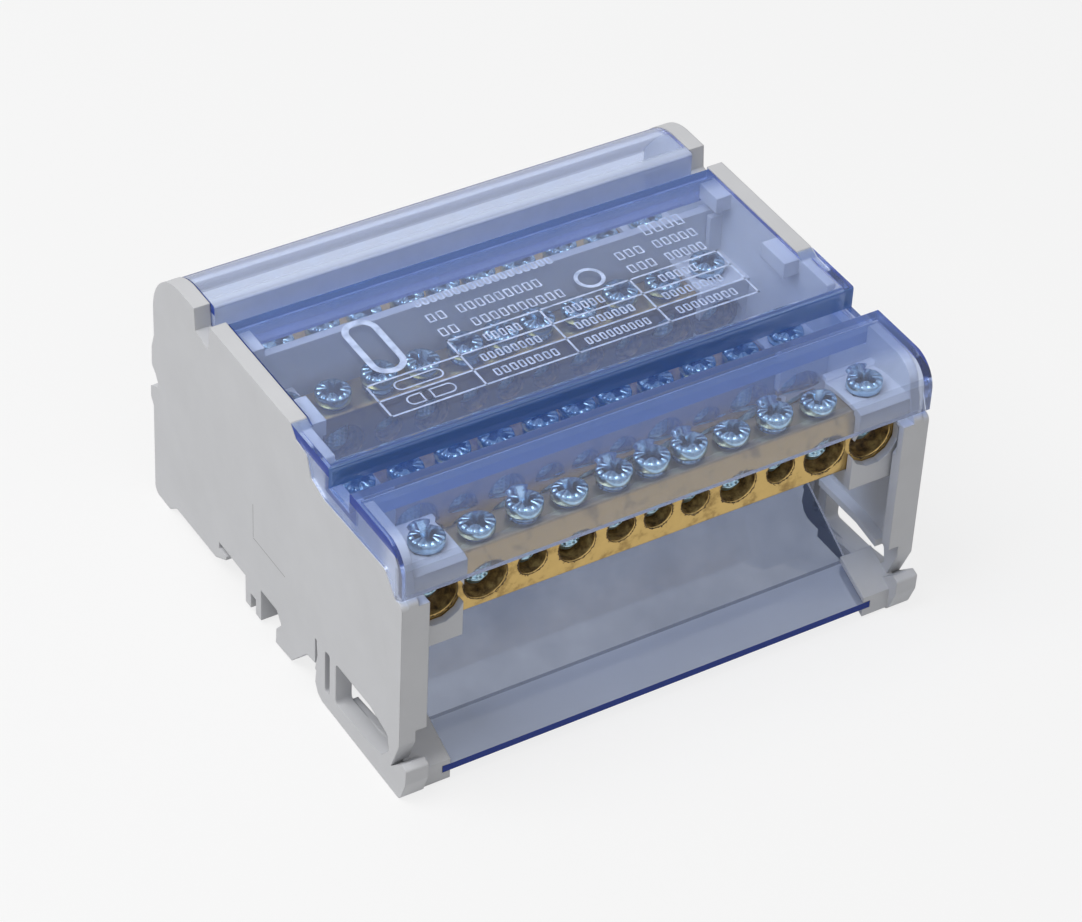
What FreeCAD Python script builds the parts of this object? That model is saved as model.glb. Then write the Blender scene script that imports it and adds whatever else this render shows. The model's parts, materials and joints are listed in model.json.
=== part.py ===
import FreeCAD, Part
import math
import os

# Power distribution block for a 35 mm rail: two moulded end plates carry four drilled brass
# busbars with clamping screws, a partition, a clear floor sheet and a clear hinged cover.
# Frame: X along the busbars, -Y towards the wiring side, +Z away from the rail, origin
# in the middle of the footprint. All sizes in millimetres.

V = FreeCAD.Vector

# Overall
block_length = 100.0
block_top = 51.7
front_face = -42.6
rear_face = 43.1
running_gap = 0.2
seat_gap = 0.1

# End plates
plate_wall = 3.0
cheek_rebate = 1.3
raised_front = -6.0
raised_slant = 1.8
front_rim_width = 5.0
front_rim_depth = 2.2
rim_low = 13.5
foot_width = 6.0
foot_rise = 3.2
catch_width = 4.2
corner_round = 1.2

# Rail seat, for a top-hat rail
rail_width = 35.0
rail_flange = 1.0
rail_seat = 6.7
rail_centre = 2.3
hook_reach = 2.7
foot_drop = 5.8
tongue_thickness = 2.6
tongue_slot = 1.6

# Clear cover
cover_wall = 1.6
cheek_wall = 1.1
cover_gap = 0.3
nose_front = -42.4
nose_round = 5.5
lip_drop = 9.5
front_groove = (-25.6, -18.8)
front_groove_depth = 4.2
swing_relief = 1.6
nose_relief = 1.4
rear_groove = (21.5, 26.4)
rear_groove_depth = 4.5
hump_round = 10.5
edge_round = 0.5
hinge_height = 30.0
hinge_barrel = 2.2
hinge_pin = 1.5
hinge_pin_reach = 1.8
hinge_fit = 0.05

# Clear floor sheet
sheet_wall = 1.4
sheet_front = -43.0
sheet_front_height = 3.6
sheet_bend = -35.3
sheet_bend_height = 7.1
sheet_shelf = -21.0
sheet_shelf_height = 15.9
flange_reach = 9.4
flange_above = 1.1
flange_below = 1.6
shelf_wall = 1.4
slot_depth = 1.4

# Busbars, front to rear
bar_depth = 7.5
bar_height = 12.2
bar_end_gap = 0.4
bar_places = (-34.5, -12.5, 12.0, 32.0)
bar_drops = (8.4, 14.3, 15.8, 19.0)
bar_names = ("busbar_front", "busbar_second", "busbar_third", "busbar_rear")

# Terminals: the pattern of (bore, pitch to the next) runs inwards from each end to the small
# bore in the middle, and its pitches shrink or grow with the busbar
bore_web = 1.4
bore_large = 8.0
bore_medium = 6.8
bore_small = 5.3
end_margin = 5.1
large_pitch = 9.1
step_pitch = 8.7
mixed_pitch = 8.3
small_pitch = 7.1
end_pattern = (
    (bore_large, large_pitch), (bore_large, step_pitch), (bore_small, mixed_pitch),
    (bore_medium, mixed_pitch), (bore_small, small_pitch),
)

# Clamping screws
shank_radius = 2.45
thread_fit = 0.05
shank_length = 10.0
tip_length = 1.6
tip_radius = 1.5
head_radius = 3.1
head_height = 2.2
head_chamfer = 0.4
lifts = {bore_large: 0.4, bore_medium: 0.5, bore_small: 1.2}
end_lift = 1.2

# Sides that stand for the round form where it repeats at every terminal
bore_side_count = 12
hole_side_count = 8
screw_side_count = 8

# Sockets that hold the busbar ends
socket_reach = 12.8
socket_wall = 1.4
socket_floor = 3.2
socket_roof = 0.9
socket_bore_gap = 0.6
screw_gap = 0.3

# Grey partition behind the third busbar and the ribs that hold its ends
partition_wall = 1.6
partition_drop = 6.6
partition_lift = 6.4
rib_reach = 2.5
rib_wall = 1.2
rib_drop = 0.8

# Tabs on the plates that the roof rests on
tab_reach = 3.0
tab_height = 3.0
front_tab = (raised_front - 1.0, raised_front + 6.0)
rear_tab = (rear_groove[0] - 7.5, rear_groove[0] - 2.2)

half = block_length / 2
inner_face = half - plate_wall
hinge_y = rear_face - running_gap - hinge_barrel
rail_front = rail_centre - rail_width / 2
rail_rear = rail_centre + rail_width / 2
lip_height = block_top - lip_drop
front_groove_floor = block_top - front_groove_depth
rear_groove_floor = block_top - rear_groove_depth
bar_end = inner_face - bar_end_gap
bar_tops = tuple(block_top - drop for drop in bar_drops)
partition_front = bar_places[2] + bar_depth / 2 + seat_gap + socket_wall + seat_gap
partition_rear = partition_front + partition_wall
partition_low = sheet_shelf_height + partition_lift
partition_high = block_top - partition_drop


def outline(points):
    """A closed wire in the YZ plane from (y, z, corner radius) points."""
    corners = [(V(0, p[0], p[1]), p[2] if len(p) > 2 else 0.0) for p in points]
    edges = []
    ends = []
    for i, (here, radius) in enumerate(corners):
        back = corners[i - 1][0] - here
        ahead = corners[(i + 1) % len(corners)][0] - here
        back.normalize()
        ahead.normalize()
        if radius <= 0:
            ends.append((here, here, None))
            continue
        turn = back.getAngle(ahead)
        run = radius / math.tan(turn / 2)
        middle = (back + ahead).normalize() * (radius / math.sin(turn / 2) - radius)
        ends.append((here + back * run, here + ahead * run, here + middle))
    for i, (start, finish, middle) in enumerate(ends):
        if middle is not None:
            edges.append(Part.Arc(start, middle, finish).toShape())
        following = ends[(i + 1) % len(ends)][0]
        if (following - finish).Length > 1e-6:
            edges.append(Part.LineSegment(finish, following).toShape())
    return Part.Wire(edges)


def prism(points, low, high):
    """The outline drawn out along X from low to high."""
    face = Part.Face(outline(points))
    face.translate(V(low, 0, 0))
    return face.extrude(V(high - low, 0, 0))


def block(x, y, z):
    """A box from pairs of limits."""
    return Part.makeBox(x[1] - x[0], y[1] - y[0], z[1] - z[0], V(x[0], y[0], z[0]))


def ring(radius, side_count, centre, across, up):
    """Corners of an even polygon with its side_count touching the circle of the given radius."""
    reach = radius / math.cos(math.pi / side_count)
    turns = [2 * math.pi * (i + 0.5) / side_count for i in range(side_count)]
    return [centre + across * (reach * math.cos(t)) + up * (reach * math.sin(t)) for t in turns]


def drill(radius, side_count, start, run):
    """A many-sided prism that stands for a drill along the vector run."""
    across = V(1, 0, 0)
    corners = ring(radius, side_count, start, across, run.cross(across).normalize())
    return Part.Face(Part.makePolygon(corners + corners[:1])).extrude(run)


def turned(profile, side_count, x, y):
    """A solid turned about the vertical through x, y from (radius, height) points going down."""
    shrink = math.cos(math.pi / side_count)
    rings = [ring(r * shrink, side_count, V(x, y, z), V(1, 0, 0), V(0, 1, 0)) for r, z in profile]
    skins = [rings[0], rings[-1]]
    for above, below in zip(rings, rings[1:]):
        for i in range(side_count):
            skins.append([above[i - 1], above[i], below[i], below[i - 1]])
    faces = [Part.Face(Part.makePolygon(skin + skin[:1])) for skin in skins]
    return Part.Solid(Part.makeShell(faces)).removeSplitter()


def fused(first, others):
    return first.multiFuse(list(others)).removeSplitter()


def mirrored(shape):
    return shape.mirror(V(0, 0, 0), V(1, 0, 0))


def terminals():
    """(x, bore diameter) of each terminal along a busbar, left to right; their pitches share out its length."""
    run = bar_end - end_margin
    share = run / sum(pitch for bore, pitch in end_pattern)
    side = []
    x = run
    for bore, pitch in end_pattern:
        side.append((x, bore))
        x -= pitch * share
    left = [(-x, bore) for x, bore in side]
    return left + [(0.0, bore_small)] + side[::-1]


def cover_line(inset):
    """The cover's section line from the front lip to the hinge, moved inwards by inset."""
    top = block_top - inset
    floor_front = front_groove_floor - inset
    floor_rear = rear_groove_floor - inset
    rear = hinge_y + hinge_barrel - inset
    return [
        (nose_front + inset, lip_height, 0),
        (nose_front + inset, top, nose_round - inset),
        (front_groove[0] - inset, top, edge_round),
        (front_groove[0] - inset, floor_front, 0),
        (front_groove[1] + inset, floor_front, 0),
        (front_groove[1] + inset, top, edge_round),
        (rear_groove[0] - inset, top, edge_round),
        (rear_groove[0] - inset, floor_rear, 0),
        (rear_groove[1] + inset, floor_rear, 0),
        (rear_groove[1] + inset, top, edge_round),
        (rear, top, hump_round - inset),
        (rear, hinge_height, 0),
    ]


def cheek_line():
    """Lower edge of the cover's cheek, from the raised edge of the plate to the front lip."""
    return [
        (raised_front - cover_gap, block_top, 0),
        (raised_front - raised_slant - cover_gap, block_top - cover_wall - cover_gap, 0),
        (front_groove[1] + 7.1, block_top - cover_wall - 0.8, 0.8),
        (front_groove[1] + 5.6, front_groove_floor - 2.0, 0.8),
        (front_groove[1] + 1.4, front_groove_floor - 3.2, 0.8),
        (nose_front + 5.3, lip_height + 2.8, 1.5),
        (nose_front + 1.8, lip_height - 1.0, 0),
    ]


def lowered(points, gap):
    """An open front-running line of (y, z, radius) points moved down and back by gap."""
    spots = [V(0, p[0], p[1]) for p in points]
    sides = []
    for start, finish in zip(spots, spots[1:]):
        run = (finish - start).normalize()
        sides.append(V(0, -run.z, run.y))
    result = []
    for i, spot in enumerate(spots):
        before = sides[max(i - 1, 0)]
        after = sides[min(i, len(sides) - 1)]
        moved = spot + (before + after) * (gap / (1 + before.dot(after)))
        result.append((moved.y, moved.z, points[i][2]))
    return result


def plate_front():
    """Front of the plate below the cover, down to the sprung catch and round its nose."""
    return [
        (front_face, lip_height - cover_gap - 0.6, corner_round),
        (front_face, rim_low - 2.3, 1.0),
        (front_face + 2.5, 5.0, 0),
        (front_face - 1.0, 8.2, 0.5),
        (front_face - 2.4, 7.7, 0.5),
        (front_face - 2.3, 4.6, 2.0),
        (front_face - 0.6, 0, 1.5),
    ]


def plate_bottom():
    """Underside from the catch to the rear corner: sprung tongue, rail feet and fixed hook."""
    tongue = rail_front - 0.1
    hook = rail_rear + 0.1
    return [
        (tongue - 1.6, 0, 1.0),
        (tongue - 0.2, 0.8, 0),
        (tongue + 0.7, 2.6, 0),
        (tongue + 0.4, 5.3, 0),
        (tongue + 0.8, rail_seat - rail_flange - 0.2, 0),
        (tongue, rail_seat + 2.3, 0),
        (tongue + 0.3, rail_seat + 5.5, 0),
        (tongue + 0.8, rail_seat + 5.5, 0),
        (tongue + 0.8, rail_seat, 0),
        (tongue + 3.7, rail_seat - 0.4, 0),
        (tongue + 8.9, rail_seat - foot_drop - 0.3, 0),
        (tongue + 14.6, rail_seat - foot_drop - 0.7, 0),
        (tongue + 14.4, rail_seat - 3.3, 0),
        (tongue + 12.6, rail_seat - 1.1, 0.6),
        (tongue + 14.2, rail_seat + 1.0, 0.6),
        (hook - 15.3, rail_seat + 1.0, 0),
        (hook - 15.3, rail_seat - foot_drop, 0),
        (hook - 13.4, rail_seat - foot_drop, 0),
        (hook - 13.4, rail_seat - 2.6, 0),
        (hook - 11.6, rail_seat - 2.6, 0),
        (hook - 11.6, rail_seat - foot_drop, 0),
        (hook - 9.7, rail_seat - foot_drop, 0),
        (hook - 9.7, rail_seat, 0),
        (hook, rail_seat, 0),
        (hook, rail_seat - rail_flange - 0.3, 0),
        (hook - hook_reach, rail_seat - rail_flange - 0.3, 0),
        (hook - hook_reach + 0.2, rail_seat - 2.2, 0),
        (hook + 1.3, 2.4, 0.8),
        (rear_face - 7.1, 2.1, 0.8),
        (rear_face - 4.4, 0, 0.5),
        (rear_face + 1.3, 0, 1.6),
    ]


def plate_rear():
    """Rear edge with the bulge round the hinge, the finger notch and the tab below it."""
    return [
        (rear_face + 0.9, 19.5, 0.5),
        (rear_face + 1.85, 21.0, 0.5),
        (rear_face + 1.85, 23.4, 0.5),
        (rear_face - 1.6, 25.0, 0.8),
        (rear_face - 0.1, hinge_height - 2.6, 0.8),
        (rear_face + 1.2, hinge_height - 1.6, 1.2),
        (rear_face + 1.0, hinge_height + 2.6, 2.0),
        (rear_face, hinge_height + 5.5, 0),
        (rear_face, block_top, hump_round),
        (rear_groove[1] + 1.2, block_top, 0),
        (rear_groove[1] + 0.8, rear_groove_floor + 0.2, 0),
        (rear_groove[0] + 1.2, rear_groove_floor - 0.6, 0),
        (rear_groove[0] + 0.4, block_top, 0),
    ]


def plate_skin():
    """Outer layer of the wall: its front top edge is the rebate that the cheek lies in."""
    raised = [(raised_front, block_top, 0)]
    low = lowered(cheek_line(), cover_gap)
    return raised + low[1:] + plate_front() + plate_bottom() + plate_rear()


def plate_core():
    """Inner layer of the wall, which follows the cover's underside."""
    under = block_top - cover_wall - cover_gap
    dip = front_groove_floor - cover_wall - cover_gap
    clear = cover_wall + cover_gap
    top = [
        (raised_front, block_top, 0),
        (raised_front - raised_slant, under, 0),
        (front_groove[1] + clear + swing_relief, under, 0.5),
        (front_groove[1] + clear, dip, 0.5),
        (front_groove[0] - clear, dip, 0.5),
        (front_groove[0] - clear, under, 0.5),
        (nose_front + clear + nose_relief, under, nose_round - clear),
        (nose_front + clear, lip_height - cover_gap, 0),
    ]
    return top + plate_front() + plate_bottom() + plate_rear()


def window_outline():
    """Opening in the wall above the catch's sprung arm."""
    return [
        (rail_front - 6.4, rail_seat + 5.5, 0.8),
        (rail_front - 6.4, 3.4, 0.8),
        (front_face + 11.6, 3.8, 1.0),
        (front_face + 5.6, 4.8, 1.5),
        (front_face + 3.2, 7.6, 1.0),
        (front_face + 3.8, 10.8, 1.0),
        (front_face + 9.6, 12.4, 3.0),
    ]


def tongue_slot_outline():
    """Slot behind the sprung tongue that lets it move away from the rail."""
    back = rail_front - 0.1 - tongue_thickness
    return [
        (back, 2.8, 0.6),
        (back, rail_seat + 5.5, 0.6),
        (back - tongue_slot, rail_seat + 5.5, 0.6),
        (back - tongue_slot, 3.6, 0.6),
    ]


def sheet_line(offset):
    """Upper side of the floor sheet from front to rear, raised by offset."""
    return [
        (sheet_front, sheet_front_height + offset),
        (sheet_bend, sheet_bend_height + offset),
        (sheet_shelf, sheet_shelf_height + offset),
        (-sheet_shelf, sheet_shelf_height + offset),
        (-sheet_bend, sheet_bend_height + offset),
        (rear_face - 1.5, sheet_front_height + 0.6 + offset),
    ]


def band(low, high, start, stop):
    """Outline between two offsets of the sheet line, from its point start up to point stop."""
    upper = sheet_line(high)[start:stop]
    lower = sheet_line(low)[start:stop]
    return upper + lower[::-1]


def bar_solid(place, top):
    """Drawn brass bar with a bore across it and a threaded hole from above at each terminal."""
    front = place - bar_depth / 2
    bar = block((-bar_end, bar_end), (front, front + bar_depth), (top - bar_height, top))
    centre = top - bar_height + bore_web + bore_large / 2
    across = V(0, bar_depth + 2, 0)
    upward = V(0, 0, top - centre + 1)
    tools = []
    for x, bore in terminals():
        tools.append(drill(bore / 2, bore_side_count, V(x, front - 1, centre), across))
        tools.append(drill(shank_radius + thread_fit, hole_side_count, V(x, place, centre), upward))
    return bar.cut(tools)


def screw_solid(x, place, top, lift):
    """Clamping screw with a pan head and a coned tip, its head standing off the bar by lift."""
    seat = top + lift
    crown = seat + head_height
    tip = seat - shank_length
    profile = [
        (head_radius - head_chamfer, crown), (head_radius, crown - head_chamfer), (head_radius, seat),
        (shank_radius, seat), (shank_radius, tip + tip_length), (tip_radius, tip),
    ]
    return turned(profile, screw_side_count, x, place)


def socket_tools(place, top):
    """Box socket for a busbar end on the left plate, and what is cut out of it."""
    bottom = top - bar_height
    front = place - bar_depth / 2
    rear = place + bar_depth / 2
    inner = -half + socket_reach
    shell = block(
        (-inner_face - seat_gap, inner),
        (front - seat_gap - socket_wall, rear + seat_gap + socket_wall),
        (bottom - seat_gap - socket_floor, top + seat_gap + socket_roof),
    )
    cavity = block(
        (-inner_face, inner + 1),
        (front - seat_gap, rear + seat_gap),
        (bottom - seat_gap, top + seat_gap),
    )
    x, bore = terminals()[0]
    centre = bottom + bore_web + bore_large / 2
    wire = drill(bore / 2 + socket_bore_gap, bore_side_count, V(x, front - 3, centre), V(0, bar_depth + 6, 0))
    screw = drill(shank_radius + screw_gap, hole_side_count, V(x, place, top), V(0, 0, bar_height))
    return shell, [cavity, wire, screw]


def partition_ribs():
    """Ribs on the left plate that hold the partition's end, one behind it and one in front."""
    reach = (-inner_face - 1, -inner_face + rib_reach)
    behind = partition_rear + seat_gap
    ahead = partition_front - seat_gap
    socket_top = bar_tops[2] + seat_gap + socket_roof
    return [
        block(reach, (behind, behind + rib_wall), (partition_low, partition_high - rib_drop)),
        block(reach, (ahead - rib_wall, ahead), (socket_top - rib_drop, partition_high - rib_drop)),
    ]


def left_plate():
    """Left end plate, one moulding with its rail foot, sprung catch and busbar sockets."""
    split = -half + cheek_rebate
    skin = prism(plate_skin(), -half, split)
    core = prism(plate_core(), split, -inner_face)
    plate = fused(skin, [core])
    rim_y = (front_face, front_face + front_rim_depth)
    rim = block((-inner_face - 1, -half + front_rim_width), rim_y, (rim_low, lip_height - 2.0))
    under = plate_bottom()
    foot_points = [(p[0], p[1] if p[1] < rail_seat + 3 else rail_seat + 3) for p in under[9:29]]
    foot = prism(
        foot_points + [(rear_face - 7.1, rail_seat + foot_rise), (rail_front + 0.7, rail_seat + foot_rise)],
        -inner_face - 1, -half + foot_width,
    )
    catch = prism(
        plate_front()[2:] + [(rail_front - 6.4, 0, 0), (rail_front - 6.4, 3.0, 0)],
        -inner_face - 1, -half + catch_width,
    )
    arch = window_outline()
    rib = prism(
        [(arch[0][0], arch[0][1] + 0.05), (arch[6][0], arch[6][1] + 0.05), (arch[5][0], arch[5][1] + 0.6),
         (arch[5][0], arch[5][1] + 2.0), (arch[6][0], arch[6][1] + 1.5), (arch[0][0], arch[0][1] + 1.5)],
        -inner_face - 1, -half + front_rim_width,
    )
    flange_x = (-inner_face - 1, -half + flange_reach)
    front_flange = prism(band(-sheet_wall - flange_below, flange_above, 0, 2), *flange_x)
    rear_flange = prism(band(-sheet_wall - flange_below, flange_above, 4, 6), *flange_x)
    shelf = prism(band(-sheet_wall - seat_gap - shelf_wall, -sheet_wall - seat_gap, 2, 4), *flange_x)
    slot = prism(
        band(-sheet_wall - seat_gap, seat_gap, 0, 6), -half + flange_reach - slot_depth - seat_gap, 0
    )
    additions = [rim, foot, catch, rib, front_flange, rear_flange, shelf]
    cuts = [slot, prism(window_outline(), -half - 1, -inner_face + 0.01)]
    cuts.append(prism(tongue_slot_outline(), -half - 1, -half + foot_width + 1))
    for place, top in zip(bar_places, bar_tops):
        shell, hollow = socket_tools(place, top)
        additions.append(shell)
        cuts.extend(hollow)
    tab_top = block_top - cover_wall - cover_gap
    tab_x = (-inner_face - 1, -inner_face + tab_reach)
    for tab in (front_tab, rear_tab):
        additions.append(block(tab_x, tab, (tab_top - tab_height, tab_top)))
    plate = fused(plate, additions + partition_ribs())
    pin_hole = Part.makeCylinder(
        hinge_pin + hinge_fit, hinge_pin_reach + seat_gap + 1,
        V(-inner_face + 1, hinge_y, hinge_height), V(-1, 0, 0),
    )
    cuts.append(pin_hole)
    return plate.cut(cuts).removeSplitter()


def cover():
    """Clear cover: one ribbed roof with a front nose, side cheeks and a hinge at the rear."""
    section = cover_line(0) + cover_line(cover_wall)[::-1]
    narrow = inner_face - running_gap
    roof = prism(section, -narrow, narrow)
    wide = prism(section, -half, half)
    edge = cheek_line()
    front_part = [
        edge[0], edge[1], (edge[1][0], lip_height - 5, 0), (nose_front - 1, lip_height - 5, 0),
        (nose_front - 1, block_top, 0),
    ]
    wide = wide.common(prism(front_part, -half, half))
    filled = cover_line(0)[:6] + edge
    cheek = prism(filled, -half, -half + cheek_wall)
    barrel = Part.makeCylinder(hinge_barrel, 2 * narrow, V(-narrow, hinge_y, hinge_height), V(1, 0, 0))
    pins = Part.makeCylinder(
        hinge_pin, 2 * (inner_face + hinge_pin_reach - seat_gap),
        V(-inner_face - hinge_pin_reach + seat_gap, hinge_y, hinge_height), V(1, 0, 0),
    )
    return fused(roof, [wide, cheek, mirrored(cheek), barrel, pins])


def floor_sheet():
    """Clear sheet under the wiring space, folded over the rail and held in the plates' slots."""
    reach = half - flange_reach + slot_depth
    return prism(band(-sheet_wall, 0, 0, 6), -reach, reach)


def partition():
    """Plain wall between the third and the rear busbar."""
    reach = inner_face - seat_gap
    return block((-reach, reach), (partition_front, partition_rear), (partition_low, partition_high))


def export(shape, name):
    if len(shape.Solids) != 1 or not shape.isValid():
        print("check", name, len(shape.Solids), shape.isValid())
    shape.Solids[0].exportStep("parts/" + name + ".step")


def main():
    os.makedirs("parts", exist_ok=True)
    plate = left_plate()
    export(plate, "left_end_plate")
    export(mirrored(plate), "right_end_plate")
    export(cover(), "cover")
    export(floor_sheet(), "floor_sheet")
    export(partition(), "partition")
    for letter, name, place, top in zip("abcd", bar_names, bar_places, bar_tops):
        export(bar_solid(place, top), name)
        row = terminals()
        for number, (x, bore) in enumerate(row, 1):
            lift = end_lift if number in (1, len(row)) else lifts[bore]
            export(screw_solid(x, place, top, lift), "screw_%s%02d" % (letter, number))


main()
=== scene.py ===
import json
import math
import random

import bmesh
import bpy
from bpy.props import FloatProperty, FloatVectorProperty, IntProperty, PointerProperty
from mathutils import Matrix, Vector

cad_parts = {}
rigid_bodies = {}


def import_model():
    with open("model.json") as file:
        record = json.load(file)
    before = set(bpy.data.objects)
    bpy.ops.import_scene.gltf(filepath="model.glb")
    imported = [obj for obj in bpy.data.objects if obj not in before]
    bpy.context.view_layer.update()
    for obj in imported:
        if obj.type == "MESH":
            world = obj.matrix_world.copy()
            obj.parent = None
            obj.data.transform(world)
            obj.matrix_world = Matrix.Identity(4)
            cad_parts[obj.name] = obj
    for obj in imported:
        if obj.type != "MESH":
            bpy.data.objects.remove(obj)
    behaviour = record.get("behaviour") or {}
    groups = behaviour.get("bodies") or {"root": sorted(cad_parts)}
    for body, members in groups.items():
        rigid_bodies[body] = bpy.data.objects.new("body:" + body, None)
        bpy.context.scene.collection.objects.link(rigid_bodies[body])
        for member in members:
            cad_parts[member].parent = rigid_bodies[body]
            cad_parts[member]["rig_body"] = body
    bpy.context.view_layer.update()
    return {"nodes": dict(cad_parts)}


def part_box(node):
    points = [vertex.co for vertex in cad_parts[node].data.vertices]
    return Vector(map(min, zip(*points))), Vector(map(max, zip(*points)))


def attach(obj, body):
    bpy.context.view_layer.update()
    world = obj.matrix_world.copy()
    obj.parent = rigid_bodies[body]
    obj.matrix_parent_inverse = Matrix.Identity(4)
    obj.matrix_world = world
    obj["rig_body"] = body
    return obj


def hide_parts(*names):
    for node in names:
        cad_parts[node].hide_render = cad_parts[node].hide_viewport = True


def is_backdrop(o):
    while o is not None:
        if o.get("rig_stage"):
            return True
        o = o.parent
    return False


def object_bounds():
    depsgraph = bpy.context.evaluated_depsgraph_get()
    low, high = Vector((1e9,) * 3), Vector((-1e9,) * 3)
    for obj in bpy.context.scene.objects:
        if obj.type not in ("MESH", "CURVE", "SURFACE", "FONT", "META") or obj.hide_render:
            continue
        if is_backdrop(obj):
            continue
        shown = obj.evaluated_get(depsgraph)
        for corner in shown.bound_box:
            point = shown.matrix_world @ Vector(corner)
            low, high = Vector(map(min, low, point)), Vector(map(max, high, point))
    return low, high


bl_info = {
    "name": "Power distribution block",
    "version": (1, 0, 0),
    "blender": (4, 5, 0),
    "location": "3D View > Sidebar > Distribution Block",
    "description": "Dresses a four-pole distribution block with clear cover, brass bars and clamping screws",
    "category": "Object",
}

MM = 0.001
BAR_LETTERS = {"a": "busbar_front", "b": "busbar_second", "c": "busbar_third", "d": "busbar_rear"}

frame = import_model()


# Colours

def linear(code):
    """Linear colour of an sRGB hex code, as shader sockets take it."""
    parts = [int(code[i:i + 2], 16) / 255 for i in (1, 3, 5)]
    return [p / 12.92 if p <= 0.04045 else ((p + 0.055) / 1.055) ** 2.4 for p in parts] + [1.0]


def linear_of(colour):
    """A colour property as a shader colour."""
    return [*colour, 1.0]


def shade(colour, level):
    """The colour made lighter or darker."""
    return [min(1.0, c * level) for c in colour[:3]] + [1.0]


def mixed(first, second, share):
    """A mix of two colours."""
    return [a + (b - a) * share for a, b in zip(first[:3], second[:3])] + [1.0]


# Sizes and colours of the block

def colour_property(name, description, code):
    """A colour that a user can change, with an sRGB hex code as its default."""
    return FloatVectorProperty(
        name=name, description=description, subtype="COLOR", size=3, min=0, max=1, default=linear(code)[:3]
    )


def length_property(name, description, millimetres):
    """A length that a user can change, with its default in millimetres."""
    return FloatProperty(
        name=name, description=description, unit="LENGTH", precision=5, min=0, default=millimetres * MM
    )


class BlockSettings(bpy.types.PropertyGroup):
    """Sizes and colours that the operators use."""

    large_bore: length_property("Large bore", "Diameter of the large wire bores", 8.0)
    medium_bore: length_property("Medium bore", "Diameter of the medium wire bores", 6.8)
    small_bore: length_property("Small bore", "Diameter of the small wire bores", 5.3)
    bore_web: length_property("Bore web", "Brass left below a large bore", 1.4)
    bar_edge: length_property("Bar edge", "Rounding of the busbar's drawn edges", 0.35)
    head_radius: length_property("Head radius", "Radius of a screw's pan head", 3.1)
    head_height: length_property("Head height", "Height of a screw's pan head", 2.2)
    shank_radius: length_property("Shank radius", "Outer radius of the screw's thread", 2.45)
    shank_length: length_property("Shank length", "Length of the screw below its head", 10.0)
    tip_length: length_property("Tip length", "Length of the screw's coned tip", 1.6)
    tip_radius: length_property("Tip radius", "Radius of the flat end of the tip", 1.5)
    thread_pitch: length_property("Thread pitch", "Pitch of the screw's thread", 0.8)
    head_mark_count: IntProperty(
        name="Head marks", description="Radial tool marks round a screw head", default=14, min=3
    )
    burr_reach: length_property("Burr reach", "How far a burr spreads from its bore", 0.55)
    print_depth: length_property("Print depth", "Depth of the print below the roof's surface", 0.05)
    print_line: length_property("Print line", "Width of a line of the printed table", 0.38)
    plate_colour: colour_property("Plates", "Colour of the moulded end plates", "#CBCCCF")
    brass_colour: colour_property("Brass", "Colour of the busbars", "#CDAE6E")
    zinc_colour: colour_property("Zinc", "Colour of the screws' plating", "#A2C6DA")
    cover_colour: colour_property("Cover", "Colour that the cover's plastic lets through", "#AECAF6")
    sheet_colour: colour_property("Sheet", "Colour that the floor sheet's plastic lets through", "#A0AEC7")
    cover_density: FloatProperty(
        name="Cover density", description="Absorption of the cover's plastic per metre", default=200.0, min=0
    )
    sheet_density: FloatProperty(
        name="Sheet density", description="Absorption of the sheet's plastic per metre", default=1350.0, min=0
    )
    haze_colour: colour_property("Haze", "Faint milky colour of the cover", "#5978B4")
    # Painted pale reflection over the rear groove and the hump
    pale_reflection_colour: colour_property("Pale haze", "Milky colour of the rear groove and the hump", "#CBD5EA")
    # Painted blue light in the grooves' walls
    wall_light_colour: colour_property("Wall haze", "Milky colour of the grooves' walls", "#6A90C4")
    nose_haze_colour: colour_property("Nose haze", "Milky colour of the rounded nose", "#9CA0AC")
    # Painted dark blue shade band on the hump's back
    back_shade_colour: colour_property("Back haze", "Milky colour of the hump's rounded back", "#52649A")
    # Painted blue light in place of the light gathered along the clear pieces' edges
    edge_light_colour: colour_property("Edges", "Colour that gathers along the clear pieces' edges", "#3049A6")
    sheet_haze_colour: colour_property("Sheet haze", "Faint milky colour of the floor sheet", "#6B7996")
    # Painted light on the sheet's front strip, which lies open to the front
    sheet_front_light_colour: colour_property("Sheet front", "Milky colour of the sheet's front strip", "#B6BFD4")
    # Pale blue-grey of the white print, painted shade under the cover
    shaded_ink_colour: colour_property("Ink", "Colour of the print", "#BCC7DC")
    floor_colour: colour_property("Floor", "Colour of the studio floor", "#D8D8D8")


# Shader trees

def new_material(name):
    """An empty node material of this name and its tree."""
    made = bpy.data.materials.new(name)
    made.use_nodes = True
    made.node_tree.nodes.clear()
    return made, made.node_tree


def add_node(tree, kind, values=None, links=None, stops=(), **settings):
    """Adds a shader node with its settings, constant inputs and links, and a ramp's (place, colour) stops."""
    made = tree.nodes.new(kind)
    for name, value in settings.items():
        setattr(made, name, value)
    for name, value in (values or {}).items():
        made.inputs[name].default_value = value
    for name, source in (links or {}).items():
        tree.links.new(source, made.inputs[name])
    if stops:
        points = made.color_ramp.elements
        while len(points) < len(stops):
            points.new(0.5)
        for point, (place, colour) in zip(points, stops):
            point.position = place
            point.color = colour
    return made


def grains(width):
    """Scale of a noise whose grains are about this many millimetres wide."""
    return 1 / (width * MM)


# Least share of a face's normal that lies along the axis that it faces
FACING_SHARE = 0.7


def facing(tree, axis):
    """Mask of the faces that look along an axis of the piece, either way."""
    looks = add_node(tree, "ShaderNodeTexCoord").outputs["Normal"]
    along = add_node(tree, "ShaderNodeSeparateXYZ", links={"Vector": looks}).outputs[axis]
    reach = add_node(tree, "ShaderNodeMath", links={0: along}, operation="ABSOLUTE").outputs["Value"]
    return add_node(
        tree, "ShaderNodeMath", {1: FACING_SHARE}, {0: reach}, operation="GREATER_THAN"
    ).outputs["Value"]


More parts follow.
